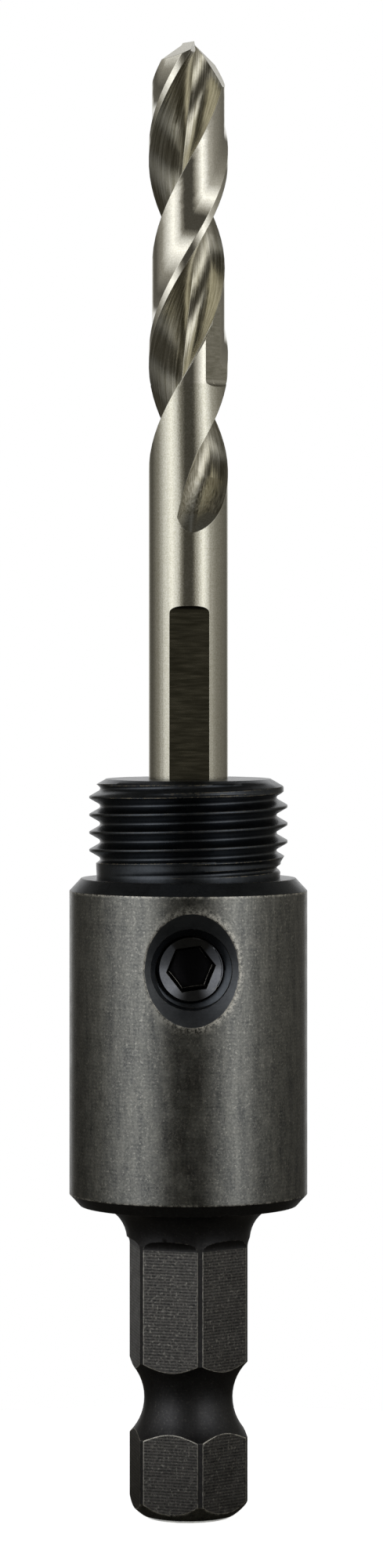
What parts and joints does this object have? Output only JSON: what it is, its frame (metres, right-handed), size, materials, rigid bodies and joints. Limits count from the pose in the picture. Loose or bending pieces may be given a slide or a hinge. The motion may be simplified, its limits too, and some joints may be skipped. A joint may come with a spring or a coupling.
{
  "type": "hole saw arbor",
  "caption": "Hole saw arbor with a threaded nose and shoulder, hex power shank with a quick-change groove, side set screw and fluted split-point pilot drill.",
  "frame": {"origin": "centre of the hex shank's end face", "axes": "+Z along the axis from the shank's end to the pilot drill's tip, -Y towards the set screw, +X to the right when the set screw faces the viewer"},
  "size_m": [0.019, 0.019, 0.1179],
  "materials": {
    "black_oxide_steel": "black oxide, mottled satin",
    "black_screw_steel": "black oxide, glossy",
    "ground_tool_steel": "ground and polished"
  },
  "bodies": {
    "arbor": {"arbor_body": "black_oxide_steel"},
    "screw": {"set_screw": "black_screw_steel"},
    "drill": {"pilot_drill": "ground_tool_steel"}
  },
  "joints": [
    {"name": "screw_travel", "type": "slide", "parent": "arbor", "child": "screw", "axis": [0, -1, 0], "range_m": [0, 0.00635]},
    {"name": "drill_slide", "type": "slide", "parent": "arbor", "child": "drill", "axis": [0, 0, 1], "range_m": [0, 0.024]}
  ]
}
